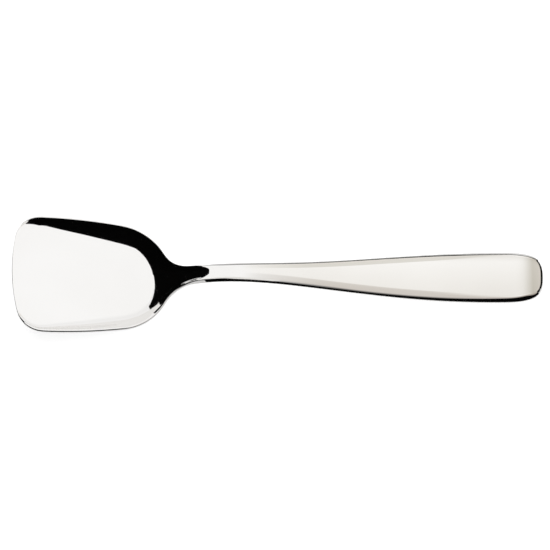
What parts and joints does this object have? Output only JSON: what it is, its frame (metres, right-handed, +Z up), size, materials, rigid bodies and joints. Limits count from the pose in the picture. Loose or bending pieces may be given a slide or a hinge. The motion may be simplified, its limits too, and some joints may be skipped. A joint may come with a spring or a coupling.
{
  "type": "sugar spoon",
  "caption": "Sugar spoon with a shallow shovel bowl and an open curved lip, an arched neck, and a bevelled handle that flares toward a blunt, rounded end",
  "frame": {"origin": "on the table, under the middle of the spoon's length and width, with the spoon lying on its heel and tail", "axes": "+X runs from the bowl to the end of the handle, +Y across the spoon, +Z up out of the bowl"},
  "size_m": [0.13, 0.0304, 0.0098],
  "materials": {
    "steel": "polished"
  },
  "bodies": {
    "root": {"spoon": "steel"}
  },
  "joints": []
}
